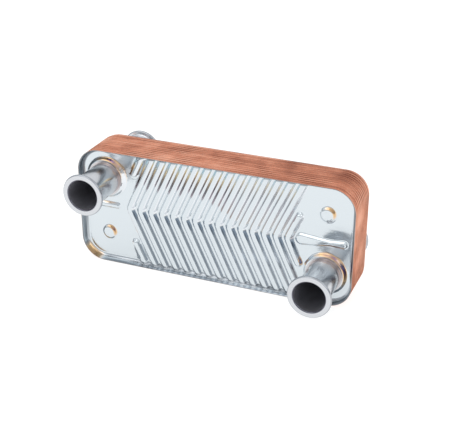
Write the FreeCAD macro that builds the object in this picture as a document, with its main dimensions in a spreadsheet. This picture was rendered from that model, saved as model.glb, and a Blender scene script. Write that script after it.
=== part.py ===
import FreeCAD, Part
import os
import Sketcher
from FreeCAD import Rotation, Vector

# Brazed plate heat exchanger. X runs along the plates, Z is up and the front faces -Y.
# The plates stand on their long lower edges, and the origin is under the middle of the whole.

DIMENSIONS = {
    # plate blank: a shallow tray whose skirt flares towards the front
    "plate_width": 192.0,
    "plate_height": 81.6,
    "corner_radius": 16.0,
    "skirt_depth": 5.5,
    "bend_radius": 2.5,
    "sheet_thickness": 0.4,
    "plate_pitch": 2.7,
    "braze_film": 0.06,
    # herringbone ridges, all measured square to the ridge except ridge_pitch, which runs along X
    "ridge_pitch": 8.0,
    "ridge_slope": 0.46,
    "first_ridge_x": -60.6,
    "crest_width": 3.0,
    "flank_width": 1.3,
    # how far above or below the middle the arms that stop short start or end
    "outer_arm_start_up": 26.2,
    "outer_arm_start_down": 25.0,
    "inner_arm_end_down": 28.7,
    "last_arm_end_up": 16.0,
    "last_arm_end_down": 16.8,
    # ports and their raised collars
    "port_x": 77.0,
    "port_z": 20.5,
    "port_radius": 8.8,
    "land_width": 5.5,
    "land_flank": 0.9,
    "collar_shoulder": 1.7,
    "collar_flank": 1.5,
    "collar_height": 2.4,
    # flanged connection tubes
    "tube_radius": 11.0,
    "tube_wall": 0.8,
    "tube_clearance": 0.05,
    "tube_insertion": 1.0,
    "flange_overhang": 3.3,
    "flange_thickness": 2.0,
    "mouth_round": 0.8,
    "flange_fillet": 1.5,
    "front_reach": 28.2,
    "rear_reach": 22.7,
    "braze_ring_width": 1.2,
    "braze_ring_height": 1.1,
    # copper bead along each skirt edge
    "seam_bead": 0.6,
    "seam_step": 0.05,
    # pressed marks on the cover plates
    "dimple_radius": 5.5,
    "dimple_height": 1.3,
    "bead_height": 1.4,
    "bead_top_round": 0.84,
    "bead_big_x": 60.6,
    "bead_big_radius": 4.0,
    "bead_neck_x": 81.0,
    "bead_neck_half": 1.7,
    "bead_end_x": 89.0,
    "bead_end_radius": 2.3,
    "left_bead_in_x": -67.7,
    "left_bead_out_x": -88.0,
    "left_bead_radius": 2.1,
}
CHANNEL_PLATES = 10
TURNING_PLACE = 6
PLATES = CHANNEL_PLATES + 2

FLARE = "asin((dims.sheet_thickness + dims.braze_film) / dims.plate_pitch)"
RIDGE_HEIGHT = "(dims.plate_pitch - dims.sheet_thickness - dims.braze_film)"
STACK_DEPTH = f"(dims.skirt_depth + {PLATES - 1} * dims.plate_pitch)"
RIM_Y = f"((dims.front_reach - dims.rear_reach - {STACK_DEPTH}) / 2)"
FLANK_RUN = f"(dims.flank_width / {RIDGE_HEIGHT})"
OBLIQUE = "sqrt(1 + dims.ridge_slope ^ 2)"
LAND_RADIUS = "(dims.port_radius + dims.land_width)"
COLLAR_TOP = "(dims.tube_radius + dims.collar_shoulder)"
COLLAR_BASE = f"({COLLAR_TOP} + dims.collar_flank)"
FLANGE_RADIUS = "(dims.tube_radius + dims.flange_overhang)"
# Shares of a half width that its corners are rounded by; a full half would leave no flat between them.
NEARLY_HALF = 0.49
BEAD_ROUND = 0.87
FORWARD = Rotation(Vector(1, 0, 0), 90)
BACKWARD = Rotation(Vector(1, 0, 0), -90)

# The four port columns, as signs of (X, Z): two carry the tubes, two end at the covers.
TUBE_COLUMNS = ((-1, 1), (1, -1))
BLIND_COLUMNS = ((1, 1), (-1, -1))

doc = FreeCAD.newDocument("plate_heat_exchanger")
sheet = doc.addObject("Spreadsheet::Sheet", "dims")
for row, (alias, value) in enumerate(DIMENSIONS.items(), start=1):
    sheet.set(f"A{row}", alias)
    sheet.set(f"B{row}", str(value))
    sheet.setAlias(f"B{row}", alias)
doc.recompute()


# ---------------------------------------------------------------- helpers
def bind(target, **expressions):
    """Tie properties of an object to expressions; a double underscore stands for a dot."""
    for name, expression in expressions.items():
        target.setExpression(name.replace("__", "."), expression)
    return target


def new_body(name):
    return doc.addObject("PartDesign::Body", name)


def new_sketch(body, role, **offset):
    """A sketch on one of the body's origin planes, with an offset bound to expressions."""
    sketch = body.newObject("Sketcher::SketchObject", f"{body.Name}_sketch")
    origin_plane = next(item for item in body.Origin.OriginFeatures if item.Role == role)
    sketch.AttachmentSupport = [(origin_plane, "")]
    sketch.MapMode = "FlatFace"
    for axis, expression in offset.items():
        sketch.setExpression(f"AttachmentOffset.Base.{axis}", expression)
    return sketch


def value_of(expression):
    """The plain number that an expression on the sheet comes to."""
    result = sheet.evalExpression(expression)
    return float(getattr(result, "Value", result))


def column(x, z):
    return (f"{x} * dims.port_x", f"{z} * dims.port_z")


def outline(sketch, corners):
    """Closed outline through corners (x, y, radius), each an expression; radius None is sharp."""
    spots = [Vector(value_of(x), value_of(y), 0) for x, y, _ in corners]
    radii = [0 if radius is None else value_of(radius) for _, _, radius in corners]
    count = len(corners)
    ways = [(spots[(i + 1) % count] - spots[i]).normalize() for i in range(count)]
    entries, leaves, centres = [], [], []
    for i, spot in enumerate(spots):
        before, after = ways[i - 1], ways[i]
        setback = radii[i] * abs((before.cross(after)).z) / (1 + before.dot(after))
        entries.append(spot - before * setback)
        leaves.append(spot + after * setback)
        turn = 1 if before.cross(after).z > 0 else -1
        centres.append(entries[i] + Vector(-before.y, before.x, 0) * radii[i] * turn)
    lines = [sketch.addGeometry(Part.LineSegment(leaves[i], entries[(i + 1) % count]))
             for i in range(count)]
    for i, corner in enumerate(corners):
        point = sketch.addGeometry(Part.Point(spots[i]), True)
        for kind, text in zip(("DistanceX", "DistanceY"), corner):
            place = sketch.addConstraint(Sketcher.Constraint(kind, -1, 1, point, 1, value_of(text)))
            sketch.setExpression(f"Constraints[{place}]", text)
        if corner[2] is None:
            sketch.addConstraint(Sketcher.Constraint("Coincident", lines[i - 1], 2, point, 1))
            sketch.addConstraint(Sketcher.Constraint("Coincident", lines[i], 1, point, 1))
            continue
        middle = (spots[i] - centres[i]).normalize() * radii[i] + centres[i]
        arc = sketch.addGeometry(Part.Arc(entries[i], middle, leaves[i]))
        arc_start = sketch.getPoint(arc, 1)
        forward = arc_start.distanceToPoint(entries[i]) < arc_start.distanceToPoint(leaves[i])
        first, last = (1, 2) if forward else (2, 1)
        sketch.addConstraint(Sketcher.Constraint("Tangent", lines[i - 1], 2, arc, first))
        sketch.addConstraint(Sketcher.Constraint("Tangent", arc, last, lines[i], 1))
        sketch.addConstraint(Sketcher.Constraint("PointOnObject", point, 1, lines[i - 1]))
        sketch.addConstraint(Sketcher.Constraint("PointOnObject", point, 1, lines[i]))
        size = sketch.addConstraint(Sketcher.Constraint("Radius", arc, radii[i]))
        sketch.setExpression(f"Constraints[{size}]", corner[2])
    return sketch


def rounded_rectangle(sketch, half_width, half_height, radius):
    signs = ((-1, -1), (1, -1), (1, 1), (-1, 1))
    return outline(sketch, [(f"{x} * ({half_width})", f"{z} * ({half_height})", radius) for x, z in signs])


def pad(body, sketch, length, taper=None):
    feature = body.newObject("PartDesign::Pad", f"{body.Name}_pad")
    feature.Profile = sketch
    feature.Refine = False
    bind(feature, Length=length)
    if taper:
        bind(feature, TaperAngle=taper)
    body.Tip = feature
    return feature


def pattern(body, feature, sketch, count):
    """Repeat a ridge along X at the ridge pitch."""
    row_of_ridges = body.newObject("PartDesign::LinearPattern", f"{body.Name}_row")
    row_of_ridges.Originals = [feature]
    row_of_ridges.Direction = (sketch, ["H_Axis"])
    row_of_ridges.Occurrences = count
    row_of_ridges.Refine = False
    bind(row_of_ridges, Length=f"{count - 1} * dims.ridge_pitch")
    body.Tip = row_of_ridges


def round_edges(body, feature, y, radius):
    """Round the edges of a pad that lie in the plane at the given y."""
    doc.recompute([feature])
    y = value_of(y)
    edges = feature.Shape.Edges
    names = [f"Edge{i + 1}" for i, edge in enumerate(edges)
             if abs(edge.BoundBox.YMin - y) < 1e-6 and abs(edge.BoundBox.YMax - y) < 1e-6]
    fillet = body.newObject("PartDesign::Fillet", f"{body.Name}_bend")
    fillet.Base = (feature, names)
    fillet.Refine = False
    bind(fillet, Radius=radius)
    body.Tip = fillet


def cone(name, centre, y, length, start_radius, end_radius, turn=FORWARD):
    """A round boss or hole on the centre (x, z), running forward or backward from y."""
    straight = start_radius == end_radius
    piece = doc.addObject("Part::Cylinder" if straight else "Part::Cone", name)
    piece.Placement = FreeCAD.Placement(Vector(), turn)
    bind(piece, Height=length, Placement__Base__x=centre[0], Placement__Base__y=y,
         Placement__Base__z=centre[1])
    if straight:
        return bind(piece, Radius=start_radius)
    return bind(piece, Radius1=start_radius, Radius2=end_radius)


def fuse(name, pieces):
    joined = doc.addObject("Part::MultiFuse", name)
    joined.Shapes = pieces
    joined.Refine = False
    return joined


def cut(name, base, tool):
    result = doc.addObject("Part::Cut", name)
    result.Base = base
    result.Tool = tool
    result.Refine = False
    return result


# ---------------------------------------------------------------- plate blank and its hollow
def make_blank():
    """The outside of a plate: a slab whose sides flare forward and whose back edge is bent round."""
    body = new_body("blank")
    shrink = f"dims.skirt_depth * tan({FLARE})"
    sketch = rounded_rectangle(new_sketch(body, "XZ_Plane"), f"dims.plate_width / 2 - {shrink}",
                               f"dims.plate_height / 2 - {shrink}", f"dims.corner_radius - {shrink}")
    slab = pad(body, sketch, "dims.skirt_depth", FLARE)
    round_edges(body, slab, "0", "dims.bend_radius + dims.sheet_thickness")
    return body


def make_hollow():
    """The space in front of a plate's flat field and inside its skirt."""
    body = new_body("hollow")
    shrink = (f"((dims.skirt_depth - dims.sheet_thickness) * tan({FLARE})"
              f" + dims.sheet_thickness / cos({FLARE}))")
    sketch = rounded_rectangle(new_sketch(body, "XZ_Plane", z="dims.sheet_thickness"),
                               f"dims.plate_width / 2 - {shrink}", f"dims.plate_height / 2 - {shrink}",
                               f"dims.corner_radius - {shrink}")
    space = pad(body, sketch, "dims.skirt_depth", FLARE)
    round_edges(body, space, "-dims.sheet_thickness", "dims.bend_radius")
    return body


# ---------------------------------------------------------------- herringbone press tools
# Each arm row: first ridge, how many, up or down, where it starts and where it ends.
FULL_END = "dims.plate_height / 2"
ARM_ROWS = [
    (0, 14, 1, "0", FULL_END),
    (0, 13, -1, "0", FULL_END),
    (13, 1, -1, "0", "dims.inner_arm_end_down"),
    (14, 1, 1, "0", "dims.last_arm_end_up"),
    (14, 1, -1, "0", "dims.last_arm_end_down"),
    (-1, 1, 1, "dims.outer_arm_start_up", FULL_END),
    (-1, 1, -1, "dims.outer_arm_start_down", FULL_END),
]


def ridge_tool(name, inset, base_y, crest_y, arm_end):
    """A slab with the herringbone standing on it, used to raise or to hollow the ridges.

    inset narrows each ridge on both sides; base_y and crest_y are its foot and its crest."""
    body = new_body(name)
    slab = new_sketch(body, "XZ_Plane", z=f"-({base_y})")
    rounded_rectangle(slab, "dims.plate_width / 2", "dims.plate_height / 2", "dims.corner_radius")
    pad(body, slab, "dims.sheet_thickness / 2").Reversed = inset != "0"

    def half_width(y):
        rise = f"({y} + dims.sheet_thickness + {RIDGE_HEIGHT})"
        return f"(dims.crest_width / 2 + {FLANK_RUN} * {rise} - {inset}) * {OBLIQUE}"

    for first, count, way, start, end in ARM_ROWS:
        last = arm_end if end == FULL_END else end
        foot = f"dims.first_ridge_x + {first} * dims.ridge_pitch"
        section = new_sketch(body, "XY_Plane", z=f"{way} * {start}",
                             x=f"{foot} + dims.ridge_slope * {start}")
        outline(section, [
            (f"-{half_width(base_y)}", base_y, None),
            (f"-{half_width(crest_y)}", crest_y, None),
            (half_width(crest_y), crest_y, None),
            (half_width(base_y), base_y, None),
        ])
        arm = pad(body, section, f"{last} - {start}")
        arm.UseCustomVector = True
        arm.AlongSketchNormal = True
        arm.Direction = Vector(1, 0, 1)
        bind(arm, Direction__x="dims.ridge_slope", Direction__z=str(way))
        if count > 1:
            pattern(body, arm, section, count)
    return body


def arm_caps(name, inset, base_y, crest_y):
    """Round ends for the arms that stop in the flat field."""
    def radius(y):
        rise = f"({y} + dims.sheet_thickness + {RIDGE_HEIGHT})"
        return f"dims.crest_width / 2 + {FLANK_RUN} * {rise} - {inset}"

    caps = []
    for first, count, way, start, end in ARM_ROWS:
        for stop in (start, end):
            if stop in ("0", FULL_END):
                continue
            foot = f"dims.first_ridge_x + {first} * dims.ridge_pitch"
            centre = (f"{foot} + dims.ridge_slope * {stop}", f"{way} * {stop}")
            caps.append(cone(f"{name}_cap", centre, base_y, f"{base_y} - ({crest_y})",
                             radius(base_y), radius(crest_y)))
    return caps


# ---------------------------------------------------------------- marks pressed into both covers
def long_bead(name, corners, y, height):
    """A raised bead with a rounded top, from an outline in the plane of the plate."""
    body = new_body(name)
    sketch = outline(new_sketch(body, "XZ_Plane", z=f"-({y})"), corners)
    ridge = pad(body, sketch, height)
    round_edges(body, ridge, f"{y} - ({height})", "dims.bead_top_round")
    return body


def cover_marks(name, inset, y, height):
    """Two dimples over the blind ports and a long bead at each end of the plate."""
    big, neck, end, half = (f"({size} - {inset})" for size in (
        "dims.bead_big_radius", "dims.bead_neck_half", "dims.bead_end_radius", "dims.left_bead_radius"))
    wide_from, wide_to = f"dims.bead_big_x - {big}", "dims.bead_neck_x"
    slim_from, slim_to = "dims.bead_neck_x - dims.bead_big_radius", f"dims.bead_end_x + {end}"
    left_from, left_to = f"dims.left_bead_out_x + {inset}", f"dims.left_bead_in_x - {inset}"
    outlines = [[(x, f"{way} * {size}", f"{BEAD_ROUND} * {size}") for x, size, way in ends] for ends in (
        ((wide_from, big, -1), (wide_to, neck, -1), (wide_to, neck, 1), (wide_from, big, 1)),
        ((slim_from, neck, -1), (slim_to, end, -1), (slim_to, end, 1), (slim_from, neck, 1)),
        ((left_from, half, -1), (left_to, half, -1), (left_to, half, 1), (left_from, half, 1)))]
    marks = [long_bead(f"{name}_bead", corners, y, height) for corners in outlines]
    curve = "((dims.dimple_radius ^ 2 + dims.dimple_height ^ 2) / (2 * dims.dimple_height))"
    for x, z in BLIND_COLUMNS:
        dome = doc.addObject("Part::Sphere", f"{name}_dimple")
        centre_x, centre_z = column(x, z)
        marks.append(bind(dome, Radius=f"{curve} - {inset}",
                          Placement__Base__x=centre_x, Placement__Base__z=centre_z,
                          Placement__Base__y=f"{curve} - dims.dimple_height - dims.sheet_thickness"))
    return marks


# ---------------------------------------------------------------- plates
def pressed_plate(name, raised, hollowed):
    """A plate whose raised pieces stand in its hollow and whose hollowed pieces are cut from it."""
    cavity = cut(f"{name}_cavity", hollow, fuse(f"{name}_raised", raised))
    shell = cut(f"{name}_shell", blank, cavity)
    return cut(name, shell, fuse(f"{name}_hollowed", hollowed))


def channel_plate_press(name, punched):
    """A channel plate: both upper ports stand on raised lands, and the punched ports are open."""
    raised, hollowed = [die], [relief]
    for x, z in ((-1, 1), (1, 1)):
        raised.append(cone(f"{name}_land", column(x, z), "0", f"dims.sheet_thickness + {RIDGE_HEIGHT}",
                           f"{LAND_RADIUS} + dims.land_flank", LAND_RADIUS))
        hollowed.append(cone(f"{name}_land_back", column(x, z), "dims.sheet_thickness",
                             f"dims.sheet_thickness + {RIDGE_HEIGHT}",
                             f"{LAND_RADIUS} + dims.land_flank - dims.sheet_thickness",
                             f"{LAND_RADIUS} - dims.sheet_thickness"))
    hollowed += [cone(f"{name}_port", column(x, z), "dims.skirt_depth", "2 * dims.skirt_depth",
                      "dims.port_radius", "dims.port_radius") for x, z in punched]
    return pressed_plate(name, raised, hollowed)


def tube_holes(name):
    radius = "dims.tube_radius + dims.tube_clearance"
    return [cone(f"{name}_hole", column(x, z), "dims.skirt_depth", "2 * dims.skirt_depth", radius, radius)
            for x, z in TUBE_COLUMNS]


def front_cover_press():
    raised, hollowed = [die, *marks_out], [relief, *marks_in, *tube_holes("front")]
    for x, z in TUBE_COLUMNS:
        raised.append(cone("front_collar", column(x, z), "0", "dims.sheet_thickness + dims.collar_height",
                           COLLAR_BASE, COLLAR_TOP))
        hollowed.append(cone("front_collar_back", column(x, z), "dims.sheet_thickness",
                             "dims.sheet_thickness + dims.collar_height",
                             f"{COLLAR_BASE} - dims.sheet_thickness",
                             f"{COLLAR_TOP} - dims.sheet_thickness / 2"))
    return pressed_plate("front_cover", raised, hollowed)


def back_cover_press():
    inner_radius = f"{COLLAR_BASE} - dims.sheet_thickness"
    openings = [cone("back_opening", column(x, z), "dims.skirt_depth", "2 * dims.skirt_depth",
                     inner_radius, inner_radius) for x, z in TUBE_COLUMNS]
    plate = pressed_plate("back_plate", [die, *marks_out], [relief, *marks_in, *openings])
    collars = fuse("back_collars", [
        cone("back_collar", column(x, z), "-dims.sheet_thickness",
             "dims.sheet_thickness + dims.collar_height", COLLAR_BASE, COLLAR_TOP, BACKWARD)
        for x, z in TUBE_COLUMNS])
    inside = fuse("back_collar_insides", tube_holes("back") + [
        cone("back_collar_inside", column(x, z), "-2 * dims.sheet_thickness",
             "dims.sheet_thickness + dims.collar_height", inner_radius,
             f"{COLLAR_TOP} - dims.sheet_thickness / 2", BACKWARD) for x, z in TUBE_COLUMNS])
    return fuse("back_cover", [plate, cut("back_collar_walls", collars, inside)])


# ---------------------------------------------------------------- copper seams
def make_seam():
    """The copper bead that fills the step between one skirt edge and the skirt in front of it."""
    body = new_body("seam")
    narrow = f"dims.plate_pitch * tan({FLARE})"
    sketch = rounded_rectangle(new_sketch(body, "XZ_Plane", z="dims.skirt_depth"),
                               "dims.plate_width / 2 - dims.seam_step",
                               "dims.plate_height / 2 - dims.seam_step",
                               "dims.corner_radius - dims.seam_step")
    fall = f"((dims.plate_pitch - dims.seam_bead) * tan({FLARE}) - 1.5 * dims.seam_step)"
    pad(body, sketch, "dims.seam_bead", f"-atan({fall} / dims.seam_bead)")
    inside = rounded_rectangle(new_sketch(body, "XZ_Plane", z="dims.skirt_depth"),
                               f"dims.plate_width / 2 - {narrow}", f"dims.plate_height / 2 - {narrow}",
                               f"dims.corner_radius - {narrow}")
    doc.recompute()
    opening = body.newObject("PartDesign::Pocket", "seam_opening")
    opening.Profile = inside
    opening.Reversed = True
    bind(opening, Length="2 * dims.seam_bead", TaperAngle=FLARE)
    body.Tip = opening
    return body


# ---------------------------------------------------------------- tubes
def make_tube(name, length):
    """A tube on the Y axis with its sealing flange at y = 0 and its plain end at y = length."""
    body = new_body(name)
    bore = "(dims.tube_radius - dims.tube_wall)"
    edge = f"{NEARLY_HALF} * dims.flange_thickness"
    sketch = outline(new_sketch(body, "XY_Plane"), [
        (bore, "0", "dims.mouth_round"),
        (FLANGE_RADIUS, "0", edge),
        (FLANGE_RADIUS, "dims.flange_thickness", edge),
        ("dims.tube_radius", "dims.flange_thickness", "dims.flange_fillet"),
        ("dims.tube_radius", length, None),
        (bore, length, None),
    ])
    turning = body.newObject("PartDesign::Revolution", f"{name}_turning")
    turning.Profile = sketch
    turning.ReferenceAxis = (sketch, ["V_Axis"])
    turning.Angle = 360
    body.Tip = turning
    return body


def make_ring(name, outer, top, height, bore):
    """A ring round the Y axis: wide at y = 0 and narrower at its front end."""
    centre = ("0", "0")
    return cut(name, cone(f"{name}_outside", centre, "0", height, outer, top),
               cone(f"{name}_bore", centre, "dims.skirt_depth", "2 * dims.skirt_depth", bore, bore))


# ---------------------------------------------------------------- build and place
parts = {}


def place(node, piece, y, x="0", z="0", turn=None, copy=False):
    """Name a sub-part and seat it; a repeated piece is a compound of its master shape."""
    if copy:
        master, piece = piece, doc.addObject("Part::Compound", node)
        piece.Links = [master]
    piece.Label = node
    if turn:
        piece.Placement = FreeCAD.Placement(Vector(), turn)
    bind(piece, Placement__Base__x=x, Placement__Base__y=y,
         Placement__Base__z=f"dims.plate_height / 2 + {z}")
    parts[node] = piece


def plate_y(number):
    """The back face of a plate's flat field; number 0 is the front cover."""
    return f"{RIM_Y} + dims.skirt_depth + {number} * dims.plate_pitch"


flank_inset = f"(dims.sheet_thickness * sqrt(1 + {FLANK_RUN} ^ 2))"
crest = f"-(dims.sheet_thickness + {RIDGE_HEIGHT})"
relief_end = (f"(dims.plate_height / 2 - dims.skirt_depth * tan({FLARE})"
              " - dims.bend_radius - dims.sheet_thickness)")
blank = make_blank()
hollow = make_hollow()
seam = make_seam()
die = fuse("die", [ridge_tool("die_ridges", "0", "0", crest, FULL_END), *arm_caps("die", "0", "0", crest)])
relief = ridge_tool("relief", flank_inset, "dims.sheet_thickness", f"-{RIDGE_HEIGHT}", relief_end)
marks_out = cover_marks("mark", "0", "-dims.sheet_thickness / 2",
                        "dims.bead_height + dims.sheet_thickness / 2")
marks_in = cover_marks("mark_back", "dims.sheet_thickness", "dims.sheet_thickness", "dims.bead_height")

place("front_cover", front_cover_press(), plate_y(0))
channel_master = channel_plate_press("channel_plate", TUBE_COLUMNS + BLIND_COLUMNS)
turning_master = channel_plate_press("turning_plate_press", BLIND_COLUMNS)
half_turn = Rotation(Vector(0, 1, 0), 180)
for number in range(1, CHANNEL_PLATES + 1):
    turn = half_turn if number % 2 == 0 else None
    if number == TURNING_PLACE:
        place("turning_plate", turning_master, plate_y(number), turn=turn, copy=True)
        continue
    index = number if number < TURNING_PLACE else number - 1
    place(f"channel_plate_{index:02d}", channel_master, plate_y(number), turn=turn, copy=True)
place("back_cover", back_cover_press(), plate_y(PLATES - 1))

for number in range(1, PLATES):
    place(f"skirt_seam_{number:02d}", seam, plate_y(number), copy=True)

port_ring = make_ring("port_ring", LAND_RADIUS, LAND_RADIUS, "dims.plate_pitch - dims.sheet_thickness",
                      "dims.port_radius")
for side, x in (("left", -1), ("right", 1)):
    place(f"port_ring_{side}", port_ring, f"{plate_y(PLATES - 1)} - dims.sheet_thickness",
          x=f"{x} * dims.port_x", z="dims.port_z", copy=True)

front_face = f"{RIM_Y} + dims.skirt_depth - dims.sheet_thickness - dims.collar_height"
rear_face = f"{RIM_Y} + {STACK_DEPTH} + dims.collar_height"
front_tube = make_tube("front_tube", "dims.front_reach + dims.skirt_depth - dims.sheet_thickness"
                       " - dims.collar_height + dims.tube_insertion")
rear_tube = make_tube("rear_tube", "dims.rear_reach - dims.collar_height + dims.tube_insertion")
braze_ring = make_ring("braze_ring", "dims.tube_radius + dims.braze_ring_width",
                       "dims.tube_radius + dims.seam_step", "dims.braze_ring_height", "dims.tube_radius")
for level, (x, z) in zip(("upper", "lower"), TUBE_COLUMNS):
    seat = {"x": f"{x} * dims.port_x", "z": f"{z} * dims.port_z", "copy": True}
    about = Rotation(Vector(0, 0, 1), 180)
    place(f"front_tube_{level}", front_tube, f"{RIM_Y} - dims.front_reach", **seat)
    place(f"rear_tube_{level}", rear_tube, f"{RIM_Y} + {STACK_DEPTH} + dims.rear_reach", turn=about, **seat)
    place(f"braze_ring_front_{level}", braze_ring, front_face, **seat)
    place(f"braze_ring_rear_{level}", braze_ring, rear_face, turn=about, **seat)

doc.recompute()
for item in doc.Objects:
    if "Invalid" in item.State or "Error" in item.State:
        raise RuntimeError(f"{item.Name} failed: {item.State}")
for node, piece in parts.items():
    shape = piece.Shape
    if shape.isNull() or not shape.isValid() or not shape.Solids:
        raise RuntimeError(f"{node} has no valid solid")

os.makedirs("parts", exist_ok=True)
for node, piece in parts.items():
    piece.Shape.exportStep(f"parts/{node}.step")
    print(node, len(piece.Shape.Solids), round(piece.Shape.Volume, 1))
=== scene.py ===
import math

import bmesh
import bpy
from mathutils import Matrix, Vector, noise


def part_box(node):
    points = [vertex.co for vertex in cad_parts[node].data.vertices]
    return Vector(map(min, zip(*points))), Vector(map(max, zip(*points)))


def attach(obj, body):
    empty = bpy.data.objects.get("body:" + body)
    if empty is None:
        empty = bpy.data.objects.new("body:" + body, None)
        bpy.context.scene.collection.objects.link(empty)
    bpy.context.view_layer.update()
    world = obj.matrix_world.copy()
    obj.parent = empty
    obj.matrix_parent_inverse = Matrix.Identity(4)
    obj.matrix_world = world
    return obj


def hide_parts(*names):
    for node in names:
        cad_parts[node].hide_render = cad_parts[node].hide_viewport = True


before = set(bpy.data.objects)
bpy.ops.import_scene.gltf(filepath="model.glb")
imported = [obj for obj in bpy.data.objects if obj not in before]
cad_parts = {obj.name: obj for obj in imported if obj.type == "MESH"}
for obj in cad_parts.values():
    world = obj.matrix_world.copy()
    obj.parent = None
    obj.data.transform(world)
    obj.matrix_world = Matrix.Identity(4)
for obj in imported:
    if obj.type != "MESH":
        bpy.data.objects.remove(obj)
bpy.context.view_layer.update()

# ---------------------------------------------------------------- sizes, in millimetres
MM = 0.001


def box_mm(node):
    low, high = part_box(node)
    return low / MM, high / MM


cover_low, cover_high = box_mm("front_cover")
back_low = box_mm("back_cover")[0]
tube_low, tube_high = box_mm("front_tube_upper")
first_high = box_mm("channel_plate_01")[1]
ring_high = box_mm("braze_ring_front_upper")[1]
rear_ring_low = box_mm("braze_ring_rear_upper")[0]

HALF_WIDTH = cover_high.x
HALF_HEIGHT = (cover_high.z - cover_low.z) / 2
MID_Z = (cover_high.z + cover_low.z) / 2
RIM_Y = cover_low.y
SKIRT_DEPTH = cover_high.y - cover_low.y
PITCH = first_high.y - cover_high.y
PORT_X = -(tube_low.x + tube_high.x) / 2
PORT_Z = (tube_low.z + tube_high.z) / 2 - MID_Z
FLANGE_RADIUS = (tube_high.x - tube_low.x) / 2
FRONT_COLUMNS = ((-PORT_X, PORT_Z), (PORT_X, -PORT_Z))
BLIND_COLUMNS = ((PORT_X, PORT_Z), (-PORT_X, -PORT_Z))

SHEET = 0.4
FILM = 0.06
CORNER_RADIUS = 16.0
BEND_RADIUS = 2.5
FLARE = math.asin((SHEET + FILM) / PITCH)

# Ridges of the herringbone; ridge 0 has its apex at RIDGE_X
RIDGE_X = -60.6
RIDGE_PITCH = 8.0
FIRST_RIDGE, LAST_RIDGE = -1, 14
RIDGE_SLOPE = 0.46
OBLIQUE = math.hypot(1, RIDGE_SLOPE)
RIDGE_HEIGHT = PITCH - SHEET - FILM
RIDGE_HALF = 2.85
RIDGE_FLANK = 1.6
APEX_ROUND = 1.6

COLLAR_BASE, COLLAR_FLANK, COLLAR_HEIGHT = 14.6, 2.2, 2.4
DIMPLE_RADIUS, DIMPLE_FLANK, DIMPLE_HEIGHT = 5.7, 2.3, 1.45
LAND_RADIUS, LAND_FLANK = 15.4, 1.0
BEAD_FLANK, BEAD_HEIGHT = 1.5, 1.4

PORT_RADIUS = 8.8
TUBE_RADIUS = 11.0
BORE_RADIUS = 10.2
FLANGE_THICKNESS = 2.0
MOUTH_ROUND = 0.8
FLANGE_ROUND = 0.9
ROOT_ROUND = 1.6
CLEARANCE = 0.03

# How finely a plate is drawn: stops along the field and per ridge, rows, and the fillet from relief to skirt
COVER_GRID = {"step": 0.62, "per_ridge": 11, "row_step": 0.72, "fillet": 1.4}
CHANNEL_GRID = {"step": 2.0, "per_ridge": 5, "row_step": 1.9, "fillet": 0.05}
SHARP_ANGLE = 50


def smooth(value):
    """Eased step from 0 to 1."""
    value = min(max(value, 0.0), 1.0)
    return value * value * (3 - 2 * value)


# ---------------------------------------------------------------- pressed relief of a plate
# Arms that stop in the flat field: (ridge number, up or down) to (nearest, farthest) stretch of the arm
SHORT_ARMS = {
    (13, -1): (0.0, 1.4 * PORT_Z),
    (14, 1): (0.0, 0.78 * PORT_Z),
    (14, -1): (0.0, 0.82 * PORT_Z),
    (-1, 1): (1.28 * PORT_Z, HALF_WIDTH),
    (-1, -1): (1.22 * PORT_Z, HALF_WIDTH),
}

# Beads at the plate's two ends: x, z and half width of each station
RIGHT_BEAD = ((60.6, 0.9, 4.0), (70.0, 0.9, 3.1), (79.5, 1.2, 1.9), (88.3, 1.5, 2.5))
LEFT_BEAD = ((-89.0, 0.3, 2.1), (-69.8, 0.3, 2.1))


def ridge_lift(x, z):
    """Height of the herringbone at a point of the plate."""
    along = math.hypot(z, APEX_ROUND)
    number = round((x - RIDGE_X - RIDGE_SLOPE * along) / RIDGE_PITCH)
    if not FIRST_RIDGE <= number <= LAST_RIDGE:
        return 0.0
    low, high = SHORT_ARMS.get((number, 1 if z > 0 else -1), (0.0, HALF_WIDTH))
    centre_x = RIDGE_X + number * RIDGE_PITCH
    across = (x - centre_x - RIDGE_SLOPE * along) / OBLIQUE
    nearest = (along + RIDGE_SLOPE * (x - centre_x)) / OBLIQUE ** 2
    past_end = (max(0.0, nearest - high) + max(0.0, low - nearest)) * OBLIQUE
    if low == 0.0 and nearest < 0:
        past_end = 0.0
    return RIDGE_HEIGHT * smooth((RIDGE_HALF - math.hypot(across, past_end)) / RIDGE_FLANK)


def bead_lift(x, z):
    """Bead at each end of the plate; the right one narrows outwards to a neck and ends round."""
    stations = RIGHT_BEAD if x >= 0 else LEFT_BEAD
    best = -math.inf
    for (x0, z0, r0), (x1, z1, r1) in zip(stations, stations[1:]):
        length = math.hypot(x1 - x0, z1 - z0)
        share = min(max(((x - x0) * (x1 - x0) + (z - z0) * (z1 - z0)) / length ** 2, 0.0), 1.0)
        gap = math.hypot(x - x0 - share * (x1 - x0), z - z0 - share * (z1 - z0))
        best = max(best, r0 + (r1 - r0) * share - gap)
    return BEAD_HEIGHT * smooth((best + 0.2) / BEAD_FLANK)


def disc_lift(x, z, centre, radius, flank, height):
    """A round raised place with a flat top."""
    return height * smooth((radius - math.hypot(x - centre[0], z - centre[1])) / flank)


def collar_lift(x, z):
    """The raised collars that the front tubes stand on."""
    return max(disc_lift(x, z, centre, COLLAR_BASE, COLLAR_FLANK, COLLAR_HEIGHT) for centre in FRONT_COLUMNS)


def cover_lift(x, z):
    """Relief shared by both covers."""
    lift = max(ridge_lift(x, z), bead_lift(x, z))
    for centre in BLIND_COLUMNS:
        lift = max(lift, disc_lift(x, z, centre, DIMPLE_RADIUS, DIMPLE_FLANK, DIMPLE_HEIGHT))
    return lift


def front_lift(x, z):
    return max(cover_lift(x, z), collar_lift(x, z))


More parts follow.
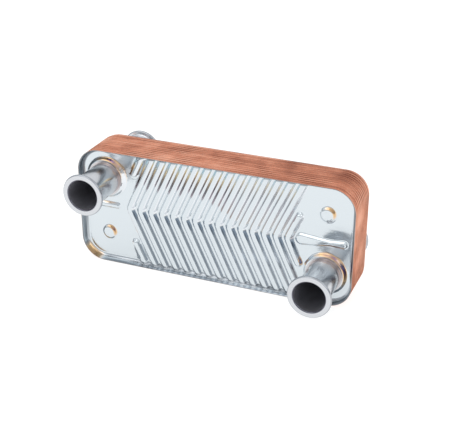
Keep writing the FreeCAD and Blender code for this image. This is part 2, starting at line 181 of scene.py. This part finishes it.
def rear_lift(x, z):
    """The back cover's collars go the other way, and its ridges fade before the bend of the skirt."""
    return cover_lift(x, z) * smooth((FIELD_Z - 0.5 - abs(z)) / 3) - collar_lift(x, z)


def channel_lift(turned):
    """Relief of a channel plate; a turned plate is the same pressing after half a turn."""
    sign = -1 if turned else 1

    def lift(x, z):
        x, z = sign * x, sign * z
        high = ridge_lift(x, z)
        for side in (-PORT_X, PORT_X):
            high = max(high, disc_lift(x, z, (side, PORT_Z), LAND_RADIUS, LAND_FLANK, RIDGE_HEIGHT))
        return high

    return lift


# ---------------------------------------------------------------- plate mesh
def skirt_profile(bend_steps=6, wall_steps=4):
    """Steps outwards and forwards from the flat field's edge, through the bend, to the rim."""
    steps = []
    for i in range(1, bend_steps + 1):
        angle = (math.pi / 2 - FLARE) * i / bend_steps
        steps.append((BEND_RADIUS * math.sin(angle), BEND_RADIUS * (1 - math.cos(angle))))
    out, forward = steps[-1]
    rest = SKIRT_DEPTH - SHEET - forward
    for i in range(1, wall_steps + 1):
        steps.append((out + rest * math.tan(FLARE) * i / wall_steps, forward + rest * i / wall_steps))
    return steps


PROFILE = skirt_profile()
SKIRT_WIDTH = PROFILE[-1][0] + SHEET / math.cos(FLARE)
FIELD_X = HALF_WIDTH - SKIRT_WIDTH
FIELD_Z = HALF_HEIGHT - SKIRT_WIDTH
FIELD_CORNER = CORNER_RADIUS - SKIRT_WIDTH
LEFT_LEAN_RUN = 18.0
RIGHT_LEAN_END = 46.0


def spread(start, end, step):
    """Evenly spaced stops from start to just short of end."""
    count = max(1, round((end - start) / step))
    return [start + (end - start) * i / count for i in range(count)]


def with_skirt(stops):
    """Add one stop, a whole step apart, for each step of the skirt beyond both ends of the field."""
    skirt = [stops[-1] + i for i in range(1, len(PROFILE) + 1)]
    return [-stop for stop in reversed(skirt)] + stops + skirt


def columns(step, per_ridge):
    """Grid stops along X, fine over the ridges."""
    left = RIDGE_X + (FIRST_RIDGE - 0.5) * RIDGE_PITCH
    right = RIDGE_X + (LAST_RIDGE + 0.5) * RIDGE_PITCH
    stops = spread(-FIELD_X, left, 0.65 * step) + spread(left, right, RIDGE_PITCH / per_ridge)
    return with_skirt(stops + spread(right, FIELD_X, step) + [FIELD_X])


def rows(step):
    """Grid stops along Z, the same above and below the middle."""
    upper = spread(0, FIELD_Z, step) + [FIELD_Z]
    return with_skirt([-stop for stop in reversed(upper[1:])] + upper)


def lean(stop):
    """How far a column leans with the ridges: fully over them, and not at all beside the plate's corners."""
    inner = FIELD_X - FIELD_CORNER
    if stop < 0:
        return smooth((stop + inner) / LEFT_LEAN_RUN)
    return 1 - smooth((stop - RIGHT_LEAN_END) / (inner - RIGHT_LEAN_END))


def settle(a, b):
    """Grid stop (a, b) to its place: x, z and how far it stands forward of the field."""
    inner_x, inner_z = FIELD_X - FIELD_CORNER, FIELD_Z - FIELD_CORNER
    over_x, over_z = max(0.0, abs(a) - inner_x), max(0.0, abs(b) - inner_z)
    reach = max(over_x, over_z)
    ring = reach - FIELD_CORNER
    forward = 0.0
    if ring > 0.5:
        out, forward = PROFILE[round(ring) - 1]
        reach = FIELD_CORNER + out
    if over_x and over_z:
        share = min(over_x, over_z) / max(over_x, over_z) * math.pi / 4
        angle = share if over_x >= over_z else math.pi / 2 - share
        x, z = inner_x + reach * math.cos(angle), inner_z + reach * math.sin(angle)
    else:
        x = inner_x + reach if over_x else abs(a)
        z = inner_z + reach if over_z else abs(b)
    x, z = math.copysign(x, a), math.copysign(z, b)
    if not over_x:
        x += RIDGE_SLOPE * min(abs(z), FIELD_Z) * lean(a)
    return x, z, forward


def plate_mesh(name, field_y, lift, holes, step, per_ridge, row_step, fillet):
    """A pressed plate, its flat field's front face at field_y; fillet eases the relief into the skirt."""
    across, up = columns(step, per_ridge), rows(row_step)
    bm = bmesh.new()
    bmesh.ops.create_grid(bm, x_segments=len(across) - 1, y_segments=len(up) - 1, size=1)
    for vert in bm.verts:
        a = across[round((vert.co.x + 1) / 2 * (len(across) - 1))]
        b = up[round((vert.co.y + 1) / 2 * (len(up) - 1))]
        x, z, forward = settle(a, b)
        height = lift(x, z)
        overlap = max(0.0, 1 - abs(forward - height) / fillet)
        overlap *= min(1.0, height / fillet) * min(1.0, forward / fillet)
        forward = max(forward, height) if height > 0 else forward + height
        vert.co = (x, field_y - forward - fillet / 4 * max(0.0, overlap) ** 2, z + MID_Z)
    for centre, radius in holes:
        open_hole(bm, centre, radius)
    bmesh.ops.recalc_face_normals(bm, faces=bm.faces)
    flat_place = Vector((70, field_y, MID_Z + 12))
    nearest = min(bm.faces, key=lambda face: (face.calc_center_median() - flat_place).length)
    if nearest.normal.y > 0:
        bmesh.ops.reverse_faces(bm, faces=bm.faces)
    return to_object(bm, name)


def open_hole(bm, centre, radius):
    """Remove the faces inside a circle and draw the rim of what is left onto it."""
    spot = Vector((centre[0], 0, centre[1] + MID_Z))

    def gap(point):
        return math.hypot(point.x - spot.x, point.z - spot.z)

    inside = [face for face in bm.faces if gap(face.calc_center_median()) < radius]
    rim = {vert for face in inside for vert in face.verts}
    bmesh.ops.delete(bm, geom=inside, context="FACES")
    for vert in rim:
        if vert.is_valid and gap(vert.co) > 1e-6:
            scale = radius / gap(vert.co)
            vert.co.x = spot.x + (vert.co.x - spot.x) * scale
            vert.co.z = spot.z + (vert.co.z - spot.z) * scale


def to_object(bm, name, smooth_angle=SHARP_ANGLE):
    """Finish a mesh drawn in millimetres as an object in metres."""
    bmesh.ops.scale(bm, vec=(MM, MM, MM), verts=bm.verts)
    mesh = bpy.data.meshes.new(name)
    bm.to_mesh(mesh)
    bm.free()
    mesh.shade_smooth()
    mesh.set_sharp_from_angle(angle=math.radians(smooth_angle))
    piece = bpy.data.objects.new(name, mesh)
    bpy.context.scene.collection.objects.link(piece)
    return piece


def thicken(piece, face, back, rim):
    """Give a sheet its thickness behind the face that was drawn, and make it final."""
    for material in (face, back, rim):
        piece.data.materials.append(material)
    wall = piece.modifiers.new("sheet", "SOLIDIFY")
    wall.thickness = SHEET * MM
    wall.offset = -1
    wall.material_offset = 1
    wall.material_offset_rim = 2
    depsgraph = bpy.context.evaluated_depsgraph_get()
    mesh = bpy.data.meshes.new_from_object(piece.evaluated_get(depsgraph))
    piece.modifiers.clear()
    piece.data = mesh
    mesh.set_sharp_from_angle(angle=math.radians(SHARP_ANGLE))
    return piece


def fit(piece, node, slot, *materials):
    """Stand a finished piece in for its node."""
    for material in materials:
        piece.data.materials.append(material)
    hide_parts(node)
    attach(piece, "root")
    return piece


def rounded_loop(half_x, half_z, radius, y, parts=14):
    """Points around a rounded rectangle, counter-clockwise seen from the front, in millimetres."""
    points = []
    for corner in range(4):
        turn = corner * math.pi / 2
        cx = (half_x - radius) * (1 if corner in (0, 3) else -1)
        cz = (half_z - radius) * (1 if corner in (0, 1) else -1)
        for i in range(parts + 1):
            angle = turn + math.pi / 2 * i / parts
            x, z = cx + radius * math.cos(angle), MID_Z + cz + radius * math.sin(angle)
            points.append(Vector((x, y, z)))
    return points


def subdivided(points, step):
    """The same closed loop with its long straight runs divided."""
    out = []
    for here, after in zip(points, points[1:] + points[:1]):
        count = max(1, round((after - here).length / step))
        out += [here.lerp(after, i / count) for i in range(count)]
    return out


# ---------------------------------------------------------------- pieces
def make_cover(name, node, lift, field_y, face, back, rim):
    """A cover, with a hole for each of its two tubes."""
    holes = [(centre, TUBE_RADIUS + CLEARANCE) for centre in FRONT_COLUMNS]
    piece = plate_mesh(name, field_y, lift, holes, **COVER_GRID)
    return fit(thicken(piece, face, back, rim), node, "cover_steel")


def make_channel_plate(node, turned, field_y, open_ports, material):
    """A plate inside the stack, of which little but the copper skirt is seen."""
    holes = [(centre, PORT_RADIUS) for centre in open_ports]
    piece = plate_mesh(f"{node}_skin", field_y, channel_lift(turned), holes, **CHANNEL_GRID)
    return fit(thicken(piece, material, material, material), node, "plate_edge_copper")


# Section of a seam's bead: millimetres out from the seam's edge, and share of its depth
SEAM_SECTION = ((-0.558, 0.0), (-0.27, 0.16), (-0.018, 0.62), (0.0, 1.0), (-0.558, 1.0))
SEAM_STEP = 2.5


def make_seam(node, slot, material):
    """Bead of braze along a skirt edge: a small fillet that runs all the way round, never quite even."""
    low, high = box_mm(node)
    number = int(node[-2:])
    half_x, half_z = high.x, (high.z - low.z) / 2
    bm = bmesh.new()
    loops = []
    for grow, along in SEAM_SECTION:
        y = low.y + along * (high.y - low.y)
        corner = CORNER_RADIUS + grow - 0.05
        verts = []
        for point in subdivided(rounded_loop(half_x + grow, half_z + grow, corner, y), SEAM_STEP):
            sway = noise.noise(Vector((point.x * 0.21, number * 7.3, point.z * 0.21)))
            ripple = noise.noise(Vector((point.x * 0.9, number * 3.1 + 40, point.z * 0.9)))
            if 0 < along < 1:
                point.y += 0.10 * sway + 0.06 * ripple
            verts.append(bm.verts.new(point))
        loops.append([bm.edges.new((a, b)) for a, b in zip(verts, verts[1:] + verts[:1])])
    for here, after in zip(loops, loops[1:] + loops[:1]):
        bmesh.ops.bridge_loops(bm, edges=here + after)
    bmesh.ops.recalc_face_normals(bm, faces=bm.faces)
    return fit(to_object(bm, f"{node}_bead", 80), node, slot, material)


def turned_piece(name, centre_x, centre_z, profile, steps=112, smooth_angle=40):
    """Spin a closed profile of (radius, y) about a tube's axis."""
    bm = bmesh.new()
    verts = [bm.verts.new((centre_x + radius, y, centre_z)) for radius, y in profile]
    edges = [bm.edges.new((a, b)) for a, b in zip(verts, verts[1:] + verts[:1])]
    bmesh.ops.spin(bm, geom=verts + edges, cent=(centre_x, 0, centre_z), axis=(0, 1, 0), angle=2 * math.pi,
                   steps=steps, use_merge=True, use_duplicate=False, use_normal_flip=False)
    bmesh.ops.remove_doubles(bm, verts=bm.verts, dist=1e-5)
    bmesh.ops.recalc_face_normals(bm, faces=bm.faces)
    return to_object(bm, name, smooth_angle)


def arc(centre, radius, start, end, parts):
    """Profile points on an arc, angles in degrees, both ends included."""
    points = []
    for i in range(parts + 1):
        angle = math.radians(start + (end - start) * i / parts)
        points.append((centre[0] + radius * math.cos(angle), centre[1] + radius * math.sin(angle)))
    return points


def make_tube(node, slot, *materials):
    """Connection tube with a rolled sealing flange on its outer end."""
    low, high = box_mm(node)
    front = low.y < RIM_Y
    centre_x, centre_z = (low.x + high.x) / 2, (low.z + high.z) / 2
    length = high.y - low.y
    edge_centre = FLANGE_RADIUS - FLANGE_ROUND
    root_end = FLANGE_THICKNESS + ROOT_ROUND
    profile = arc((BORE_RADIUS + MOUTH_ROUND, MOUTH_ROUND), MOUTH_ROUND, 180, 270, 7)
    profile += arc((edge_centre, FLANGE_ROUND), FLANGE_ROUND, 270, 360, 6)
    profile += arc((edge_centre, FLANGE_THICKNESS - FLANGE_ROUND), FLANGE_ROUND, 0, 90, 6)
    profile += arc((TUBE_RADIUS + ROOT_ROUND, root_end), ROOT_ROUND, 270, 180, 7)
    stops = 10
    profile += [(TUBE_RADIUS, root_end + (length - root_end) * i / stops) for i in range(1, stops + 1)]
    profile += [(BORE_RADIUS, length + (MOUTH_ROUND - length) * i / stops) for i in range(stops)]
    place = [(radius, low.y + y if front else high.y - y) for radius, y in profile]
    return fit(turned_piece(f"{node}_body", centre_x, centre_z, place), node, slot, *materials)


# The braze at a tube's foot: how high it climbs, how hollow its side is, and its rings of faces
FILLET_HEIGHT = 3.4
FILLET_HOLLOW = 2.4
FILLET_STEPS = 9


def make_braze_ring(node, slot, material):
    """Braze drawn up the tube from its collar: a long, hollow-sided fillet."""
    low, high = box_mm(node)
    front = low.y < RIM_Y
    centre_x, centre_z = (low.x + high.x) / 2, (low.z + high.z) / 2
    inner = TUBE_RADIUS + 0.02
    wide = (high.x - low.x) / 2 - TUBE_RADIUS
    profile = []
    for i in range(FILLET_STEPS + 1):
        rise = i / FILLET_STEPS
        profile.append((inner + wide * (1 - rise) ** FILLET_HOLLOW, FILLET_HEIGHT * rise))
    profile.append((inner, 0.0))
    place = [(radius, high.y - y if front else low.y + y) for radius, y in profile]
    return fit(turned_piece(f"{node}_fillet", centre_x, centre_z, place, 96, 60), node, slot, material)


# ---------------------------------------------------------------- finishes
class Wire:
    """One output of a shader node; arithmetic on it adds Math nodes."""

    def __init__(self, web, socket):
        self.web = web
        self.socket = socket

    def math(self, operation, first, second=0.0):
        return self.web.node("ShaderNodeMath", {"operation": operation}, {0: first, 1: second})

    def __add__(self, other):
        return self.math("ADD", self, other)

    def __sub__(self, other):
        return self.math("SUBTRACT", self, other)

    def __rsub__(self, other):
        return self.math("SUBTRACT", other, self)

    def __mul__(self, other):
        return self.math("MULTIPLY", self, other)

    def __truediv__(self, other):
        return self.math("DIVIDE", self, other)

    def __rtruediv__(self, other):
        return self.math("DIVIDE", other, self)

    def __pow__(self, other):
        return self.math("POWER", self, other)

    __radd__ = __add__
    __rmul__ = __mul__

    def larger(self, other):
        return self.math("MAXIMUM", self, other)

    def size(self):
        return self.math("ABSOLUTE", self)

    def between(self, low, high):
        """0 below low, 1 above high, eased between them."""
        return self.web.node("ShaderNodeMapRange", {"interpolation_type": "SMOOTHSTEP"},
                             {0: self, 1: low, 2: high, 3: 0.0, 4: 1.0})


class Web:
    """A node tree, and the one way in which its nodes are made."""

    def __init__(self, tree, place):
        self.tree = tree
        self.place = self.node("ShaderNodeTexCoord", {}, {}, place)

    def node(self, kind, settings, inputs, output=0):
        made = self.tree.nodes.new(kind)
        for name, value in settings.items():
            if name == "stops":
                self.set_stops(made.color_ramp.elements, value)
            else:
                setattr(made, name, value)
        for key, value in inputs.items():
            if isinstance(value, Wire):
                self.tree.links.new(value.socket, made.inputs[key])
            else:
                made.inputs[key].default_value = value
        return Wire(self, made.outputs[output])

    @staticmethod
    def set_stops(ramp, stops):
        while len(ramp) < len(stops):
            ramp.new(1.0)
        for element, (position, colour) in zip(ramp, stops):
            element.position = position
            element.color = (*colour, 1)

    def axis(self, name):
        return self.node("ShaderNodeSeparateXYZ", {}, {0: self.place}, "XYZ".index(name))

    def grain(self, scale, detail=2.0, stretch=(1, 1, 1)):
        stretched = self.node("ShaderNodeMapping", {}, {"Vector": self.place, "Scale": stretch})
        return self.node("ShaderNodeTexNoise", {}, {"Vector": stretched, "Scale": scale, "Detail": detail})

    def mix(self, share, colour, other):
        """From colour to other as share goes from 0 to 1."""
        inputs = {0: share}
        for key, value in ((6, colour), (7, other)):
            inputs[key] = value if isinstance(value, Wire) else (*value, 1)
        return self.node("ShaderNodeMix", {"data_type": "RGBA"}, inputs, 2)

    def ramp(self, value, stops):
        return self.node("ShaderNodeValToRGB", {"stops": stops}, {0: value})


class Finish(Web):
    """A material with one principled shader."""

    def __init__(self, name, **constants):
        self.material = bpy.data.materials.new(name)
        self.material.use_nodes = True
        super().__init__(self.material.node_tree, "Object")
        self.shader = self.tree.nodes["Principled BSDF"]
        for socket, value in constants.items():
            self.shader.inputs[socket.replace("_", " ")].default_value = value

    def feed(self, socket, wire):
        """Drive a socket of the shader."""
        self.tree.links.new(wire.socket, self.shader.inputs[socket])

    def dent(self, height, strength, distance):
        """Small unevenness of the surface."""
        inputs = {"Height": height, "Strength": strength, "Distance": distance}
        self.feed("Normal", self.node("ShaderNodeBump", {}, inputs))

    def height(self):
        """Height above the plates' middle, in metres."""
        return self.axis("Z") - MID_Z * MM

    def painted_top_light(self):
        """Painted light and shade: the copper on the upper side is lighter towards the left end and duller
        towards the right.
        """
        aside = (self.axis("X") + 30 * MM) * self.facing((0.0, 0.0, 1.0))
        return 0.03 - aside.larger(0.0) * 1.1

    def facing(self, direction):
        """How far the surface faces a direction of the part's own frame: 1 fully, 0 side on."""
        normal = self.node("ShaderNodeTexCoord", {}, {}, "Normal")
        settings = {"operation": "DOT_PRODUCT"}
        return self.node("ShaderNodeVectorMath", settings, {0: normal, 1: direction}, "Value")

    def inland(self, outside):
        """1 on a plate's flat field, 0 farther than outside (in millimetres) from it, all round."""
        over_x = (self.axis("X").size() - (FIELD_X - FIELD_CORNER) * MM).larger(0.0)
        over_z = (self.height().size() - (FIELD_Z - FIELD_CORNER) * MM).larger(0.0)
        out = (over_x ** 2 + over_z ** 2) ** 0.5 - FIELD_CORNER * MM
        return 1 - out.between((outside - 0.8) * MM, outside * MM)

    def reach(self, places):
        """Distance to the nearest of the lines that run along Y through each place (x, z), in metres."""
        gaps = [((self.axis("X") - x * MM) ** 2 + (self.height() - z * MM) ** 2) ** 0.5 for x, z in places]
        nearest = gaps[0]
        for gap in gaps[1:]:
            nearest = nearest.math("MINIMUM", nearest, gap)
        return nearest


STEEL = (0.66, 0.71, 0.74)
TUBE_STEEL = (0.62, 0.635, 0.66)

# Where heat coloured the stretched metal of the front cover, with painted reflection over the same places: x,
# z and radius
TINT_AND_REFLECTION_PLACES = ((-77.0, 20.5, 21.0), (77.0, -20.5, 21.0), (77.0, 20.5, 8.0), (-77.0, -20.5, 8.0))
HOT_CORNER = (-88.0, -35.0)
# Gold-brown patches on the flat beside the front tubes, painted reflections of the tubes' gold-coloured feet:
# x, z
TUBE_REFLECTION_SPOTS = ((-62.0, 31.0), (-66.0, 34.0), (80.0, -3.0), (88.0, -8.0))

# Directions that a ridge's four flanks face, in the part's own frame
UP_LEFT, UP_RIGHT = (-0.908, 0.0, 0.418), (0.908, 0.0, 0.418)
DOWN_LEFT, DOWN_RIGHT = (-0.908, 0.0, -0.418), (0.908, 0.0, -0.418)


def heat_tint_and_reflections(finish, corner):
    """Straw, violet and blue on the slopes that got hottest, coloured by which way each slope faces: part
    heat colour, part painted reflection. Beside them on the flat, gold-brown patches that are painted
    reflections of the tubes' feet.
    """
    tint_and_reflection_zone = corner * 0.5
    for x, z, radius in TINT_AND_REFLECTION_PLACES:
        tint_and_reflection_zone = tint_and_reflection_zone.larger(1 - finish.reach(((x, z),)).between(0.8 * radius * MM, radius * MM))
    waver = (finish.grain(110, 2) - 0.5) * 0.35
    # Colour by which way the slope faces: partly heat colour, partly painted reflection.
    slope = (finish.facing((0.68, 0.0, 0.73)) + waver) * tint_and_reflection_zone
    tint_and_painted_light = finish.ramp(slope, [(0.14, STEEL), (0.28, (0.74, 0.60, 0.48)), (0.46, (0.66, 0.44, 0.22)),
                               (0.58, (0.40, 0.22, 0.14)), (0.68, (0.26, 0.15, 0.34)),
                               (0.78, (0.18, 0.22, 0.42)), (0.9, (0.36, 0.46, 0.50))])
    # Painted reflection of the tubes' feet, as gold-brown patches on the flat beside them.
    tube_reflection_nearness = 1 - (finish.reach(TUBE_REFLECTION_SPOTS) + (finish.grain(70, 2) - 0.5) * 0.004) / (8 * MM)
    painted_tube_reflection = finish.ramp(tube_reflection_nearness, [
        (0.1, (0.50, 0.42, 0.44)), (0.35, (0.44, 0.32, 0.27)), (0.7, (0.72, 0.50, 0.30))])
    return finish.mix(tube_reflection_nearness.between(0.05, 0.75) * slope.between(0.0, 0.2), tint_and_painted_light, painted_tube_reflection)


def painted_flank_reflections(finish, field):
    """Over the field's own colour: painted reflections and shade in dark grey, brown and yellow-brown on the
    ridges' upper flanks, and a painted highlight line on the lower.
    """
    across, height = finish.axis("X"), finish.height()
    ridged = 1 - across.size().between(64 * MM, 70 * MM)
    up = height.between(-MM, MM)
    apex = height.between(-9 * MM, -3 * MM)

    leftward = finish.facing(UP_LEFT) - 0.36 * across.between(-4 * MM, 20 * MM)
    start = (1 - across.between(-8 * MM, 26 * MM)) * 16 * MM
    above = (height - start).between(-MM, 2 * MM) * leftward.between(0.26, 0.46)
    rightward = finish.facing(UP_RIGHT) + 0.26 * apex
    below = (1 - up) * rightward.between(0.62, 0.84) * (0.72 + 0.18 * apex)
    # Painted reflections and shade on the flanks picked out above, coloured by height.
    flank_reflection_colours = finish.ramp((height + 0.5 * MM) / (HALF_HEIGHT * MM), [
        (0.0, (0.17, 0.22, 0.28)), (0.02, (0.42, 0.30, 0.20)), (0.42, (0.36, 0.31, 0.34)),
        (0.56, (0.13, 0.12, 0.13)), (0.68, (0.30, 0.22, 0.15)), (0.78, (0.66, 0.52, 0.30)),
        (0.88, (0.45, 0.60, 0.66))])
    field_with_flank_reflections = finish.mix((above + below) * ridged, field, flank_reflection_colours)

    # Painted highlight along the downward-facing flanks.
    painted_highlight = (finish.facing(DOWN_RIGHT) * up).larger(finish.facing(DOWN_LEFT) * (1 - up))
    return finish.mix(painted_highlight.between(0.15, 0.45) * ridged, field_with_flank_reflections, (0.76, 0.79, 0.82))


def cover_steel():
    """Bright rolled stainless steel with a grey, streaked skirt; heat coloured one corner of the skirt,
    painted partly as reflection; painted reflections and a painted highlight on the ridges' flanks.
    """
    finish = Finish("cover_steel", Metallic=1.0)
    corner = 1 - finish.reach((HOT_CORNER,)).between(4 * MM, 11 * MM)
    wall = (1 - finish.inland(1.2)) * (1 - corner)
    # The skirt wall is coloured a darker grey, streaked lengthwise.
    grey_streaks = finish.ramp(finish.grain(150, 2, (0.12, 2.0, 0.12)), [
        (0.36, (0.17, 0.19, 0.21)), (0.5, (0.36, 0.39, 0.42)), (0.62, (0.55, 0.58, 0.61))])
    # The field's colour carries the painted reflections of the flanks and of the heat coloured places.
    pressed = painted_flank_reflections(finish, heat_tint_and_reflections(finish, corner))
    finish.feed("Base Color", finish.mix(wall, pressed, grey_streaks))
    finish.feed("Roughness", finish.grain(60, 4) * 0.10 + 0.09 + wall * 0.08)
    roll = finish.grain(220, 2, (0.25, 1, 1.6))
    finish.dent(roll + finish.grain(28, 2) * 6, 0.35, 0.00012)
    return finish.material


def dark_edge():
    """The sheared edge of the front cover, coloured dark grey."""
    finish = Finish("dark_edge", Metallic=1.0)
    finish.feed("Base Color", finish.mix(finish.grain(90, 2), (0.20, 0.17, 0.16), (0.46, 0.43, 0.42)))
    finish.feed("Roughness", finish.grain(200) * 0.2 + 0.3)
    return finish.material


def skirt_copper():
    """Braze copper drawn over the skirts and streaked lengthwise; the flat field inside them stays steel."""
    finish = Finish("skirt_copper", Metallic=1.0)
    blotch = finish.grain(38, 3)
    streak = finish.grain(100, 1, (0.10, 4.2, 0.10))
    # Streaks and blotches, with painted light and shade on the upper side.
    tone_and_painted_light = streak * 0.45 + blotch * 0.55 + finish.painted_top_light()
    colour = finish.ramp(tone_and_painted_light, [(0.32, (0.30, 0.10, 0.06)), (0.42, (0.58, 0.22, 0.13)),
                                (0.52, (0.86, 0.39, 0.245)), (0.66, (0.97, 0.57, 0.41))])
    flat = finish.inland(0.9)
    finish.feed("Base Color", finish.mix(flat, colour, STEEL))
    finish.feed("Roughness", finish.grain(70, 2) * 0.3 + 0.34 - flat * 0.32)
    finish.dent(streak + blotch, 0.3, 0.0003)
    return finish.material


def seam_copper():
    """The braze beads along the skirt edges."""
    finish = Finish("seam_copper", Metallic=1.0)
    # Blotches, with painted light and shade on the upper side.
    blotch = finish.grain(60, 3) + finish.painted_top_light()
    finish.feed("Base Color", finish.ramp(blotch, [
        (0.3, (0.26, 0.095, 0.06)), (0.55, (0.56, 0.25, 0.16)), (0.75, (0.80, 0.44, 0.31))]))
    finish.feed("Roughness", finish.grain(90, 2) * 0.25 + 0.42)
    finish.dent(finish.grain(160, 2), 0.25, 0.0002)
    return finish.material


def tube_steel(front):
    """Polished tube: browned next to its braze; painted shade makes its rolled mouth dark, the flange's
    rounded edge grey and the bore's wall a little darker.
    """
    finish = Finish("tube_steel_front" if front else "tube_steel_rear", Metallic=1.0)
    low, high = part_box("front_tube_upper" if front else "rear_tube_upper")
    along = finish.axis("Y")
    from_joint = high.y - along if front else along - low.y
    zone = from_joint + (finish.grain(60, 2) - 0.5) * 0.0022
    tint_and_painted_light = finish.ramp(zone / (30 * MM), [
        (0.03, (0.30, 0.17, 0.10)), (0.06, (0.56, 0.44, 0.36)), (0.12, (0.58, 0.54, 0.56)),
        (0.24, (0.62, 0.60, 0.60)), (0.4, TUBE_STEEL)])
    # Painted shade: dark in the rolled mouth, grey on the flange's rounded edge, a little darker on the
    # bore's wall.
    reach = finish.reach(FRONT_COLUMNS)
    inside = 1 - reach.between((BORE_RADIUS + 0.02) * MM, (BORE_RADIUS + 0.08) * MM)
    mouth_end = BORE_RADIUS + MOUTH_ROUND
    mouth = 1 - reach.between((mouth_end - 0.1) * MM, mouth_end * MM)
    edge = reach.between((FLANGE_RADIUS - 0.8) * MM, (FLANGE_RADIUS - 0.3) * MM)
    # Painted shade over the tube's colour.
    tint_and_painted_light = finish.mix(edge, finish.mix(mouth, tint_and_painted_light, (0.13, 0.13, 0.16)), (0.40, 0.42, 0.45))
    finish.feed("Base Color", finish.mix(inside, tint_and_painted_light, (0.50, 0.50, 0.54)))
    finish.feed("Roughness", finish.grain(90, 3) * 0.12 + 0.13 + inside * 0.32)
    finish.dent(finish.grain(500, 2, (1, 0.08, 1)), 0.12, 0.0001)
    return finish.material


def braze_copper():
    """Braze at a tube's foot: copper at the collar, thinning to tinted steel up the tube."""
    finish = Finish("braze_copper", Metallic=1.0)
    blotch = finish.grain(170, 3)
    from_middle = (finish.axis("Y") - (ring_high.y + rear_ring_low.y) / 2 * MM).size()
    foot = from_middle - (rear_ring_low.y - ring_high.y) / 2 * MM + (blotch - 0.5) * 0.0012
    finish.feed("Base Color", finish.ramp(foot.between(-0.0004, 0.0024), [
        (0.0, (0.22, 0.11, 0.07)), (0.14, (0.44, 0.28, 0.20)), (0.3, (0.56, 0.52, 0.52)),
        (1.0, TUBE_STEEL)]))
    finish.feed("Roughness", blotch * 0.16 + 0.14)
    finish.dent(blotch, 0.3, 0.0002)
    return finish.material


def ring_steel():
    """Turned steel of the hidden port rings."""
    finish = Finish("ring_steel", Metallic=1.0)
    finish.feed("Base Color", finish.mix(finish.grain(120), (0.58, 0.59, 0.60), (0.70, 0.70, 0.70)))
    finish.feed("Roughness", finish.grain(300) * 0.2 + 0.25)
    return finish.material


# ---------------------------------------------------------------- build
steel = cover_steel()
copper = skirt_copper()
dark_rim = dark_edge()
beads = seam_copper()
braze = braze_copper()
tubes = {True: tube_steel(True), False: tube_steel(False)}
rings = ring_steel()

front_field = cover_high.y - SHEET
back_field = back_low.y + SKIRT_DEPTH - SHEET
make_cover("front_cover_skin", "front_cover", front_lift, front_field, steel, copper, dark_rim)
make_cover("back_cover_skin", "back_cover", rear_lift, back_field, copper, copper, copper)

stack = sorted((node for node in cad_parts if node.startswith(("channel_plate", "turning_plate"))),
               key=lambda node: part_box(node)[0].y)
for number, node in enumerate(stack, start=1):
    ports = BLIND_COLUMNS if node == "turning_plate" else FRONT_COLUMNS + BLIND_COLUMNS
    field_y = box_mm(node)[0].y + SKIRT_DEPTH - SHEET
    make_channel_plate(node, number % 2 == 0, field_y, ports, copper)

for node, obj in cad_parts.items():
    if node.startswith("skirt_seam"):
        make_seam(node, "braze_copper", beads)
    elif "_tube_" in node:
        make_tube(node, "tube_steel", tubes[box_mm(node)[0].y < RIM_Y])
    elif node.startswith("braze_ring"):
        make_braze_ring(node, "braze_copper", braze)
    elif node.startswith("port_ring"):
        for slot in obj.material_slots:
            slot.material = rings


# ---------------------------------------------------------------- floor, light and camera
def make_floor():
    """A plain pale floor under the part."""
    bm = bmesh.new()
    bmesh.ops.create_grid(bm, x_segments=1, y_segments=1, size=6.0)
    mesh = bpy.data.meshes.new("floor")
    bm.to_mesh(mesh)
    bm.free()
    floor = bpy.data.objects.new("floor", mesh)
    bpy.context.scene.collection.objects.link(floor)
    finish = Finish("pale_floor", Roughness=0.9, Emission_Strength=0.78)
    finish.shader.inputs["Emission Color"].default_value = (1, 1, 1, 1)
    finish.shader.inputs["Base Color"].default_value = (0.34, 0.34, 0.34, 1)
    mesh.materials.append(finish.material)


def soft_box(name, place, target, size, power):
    """A soft studio light that looks at a target."""
    light = bpy.data.lights.new(name, "AREA")
    light.shape = "RECTANGLE"
    light.size, light.size_y = size
    light.energy = power
    lamp = bpy.data.objects.new(name, light)
    lamp.location = place
    lamp.rotation_euler = (Vector(target) - Vector(place)).to_track_quat("-Z", "Y").to_euler()
    bpy.context.scene.collection.objects.link(lamp)


def make_world():
    """A plain studio: white overhead, falling off softly to grey at eye level."""
    world = bpy.data.worlds.new("studio")
    world.use_nodes = True
    web = Web(world.node_tree, "Generated")
    shade = web.ramp(web.axis("Z"), [
        (0.0, (0.42, 0.44, 0.47)), (0.12, (0.50, 0.53, 0.56)), (0.34, (0.84, 0.87, 0.90)),
        (0.6, (0.97, 0.98, 1.0)), (1.0, (1, 1, 1))])
    back = web.tree.nodes["Background"]
    web.tree.links.new(shade.socket, back.inputs["Color"])
    back.inputs["Strength"].default_value = 1.0
    bpy.context.scene.world = world


def make_camera():
    """Camera to the right of the part's front, looking down on it."""
    camera = bpy.data.objects.new("camera", bpy.data.cameras.new("camera"))
    camera.data.lens = 78.85
    camera.data.sensor_width = 36
    camera.location = (0.2263, RIM_Y * MM - 0.5243, 0.3262)
    azimuth, elevation = math.radians(22.375), math.radians(25.966)
    camera.rotation_euler = (math.pi / 2 - elevation, 0, azimuth)
    bpy.context.scene.collection.objects.link(camera)
    bpy.context.scene.camera = camera


make_floor()
make_world()
soft_box("key", (-0.5, -0.9, 1.3), (0, 0, 0), (1.2, 1.2), 3.4)
soft_box("fill", (1.2, -0.2, 0.9), (0, 0, 0), (0.8, 0.8), 2)
make_camera()
bpy.context.scene.view_settings.view_transform = "Standard"
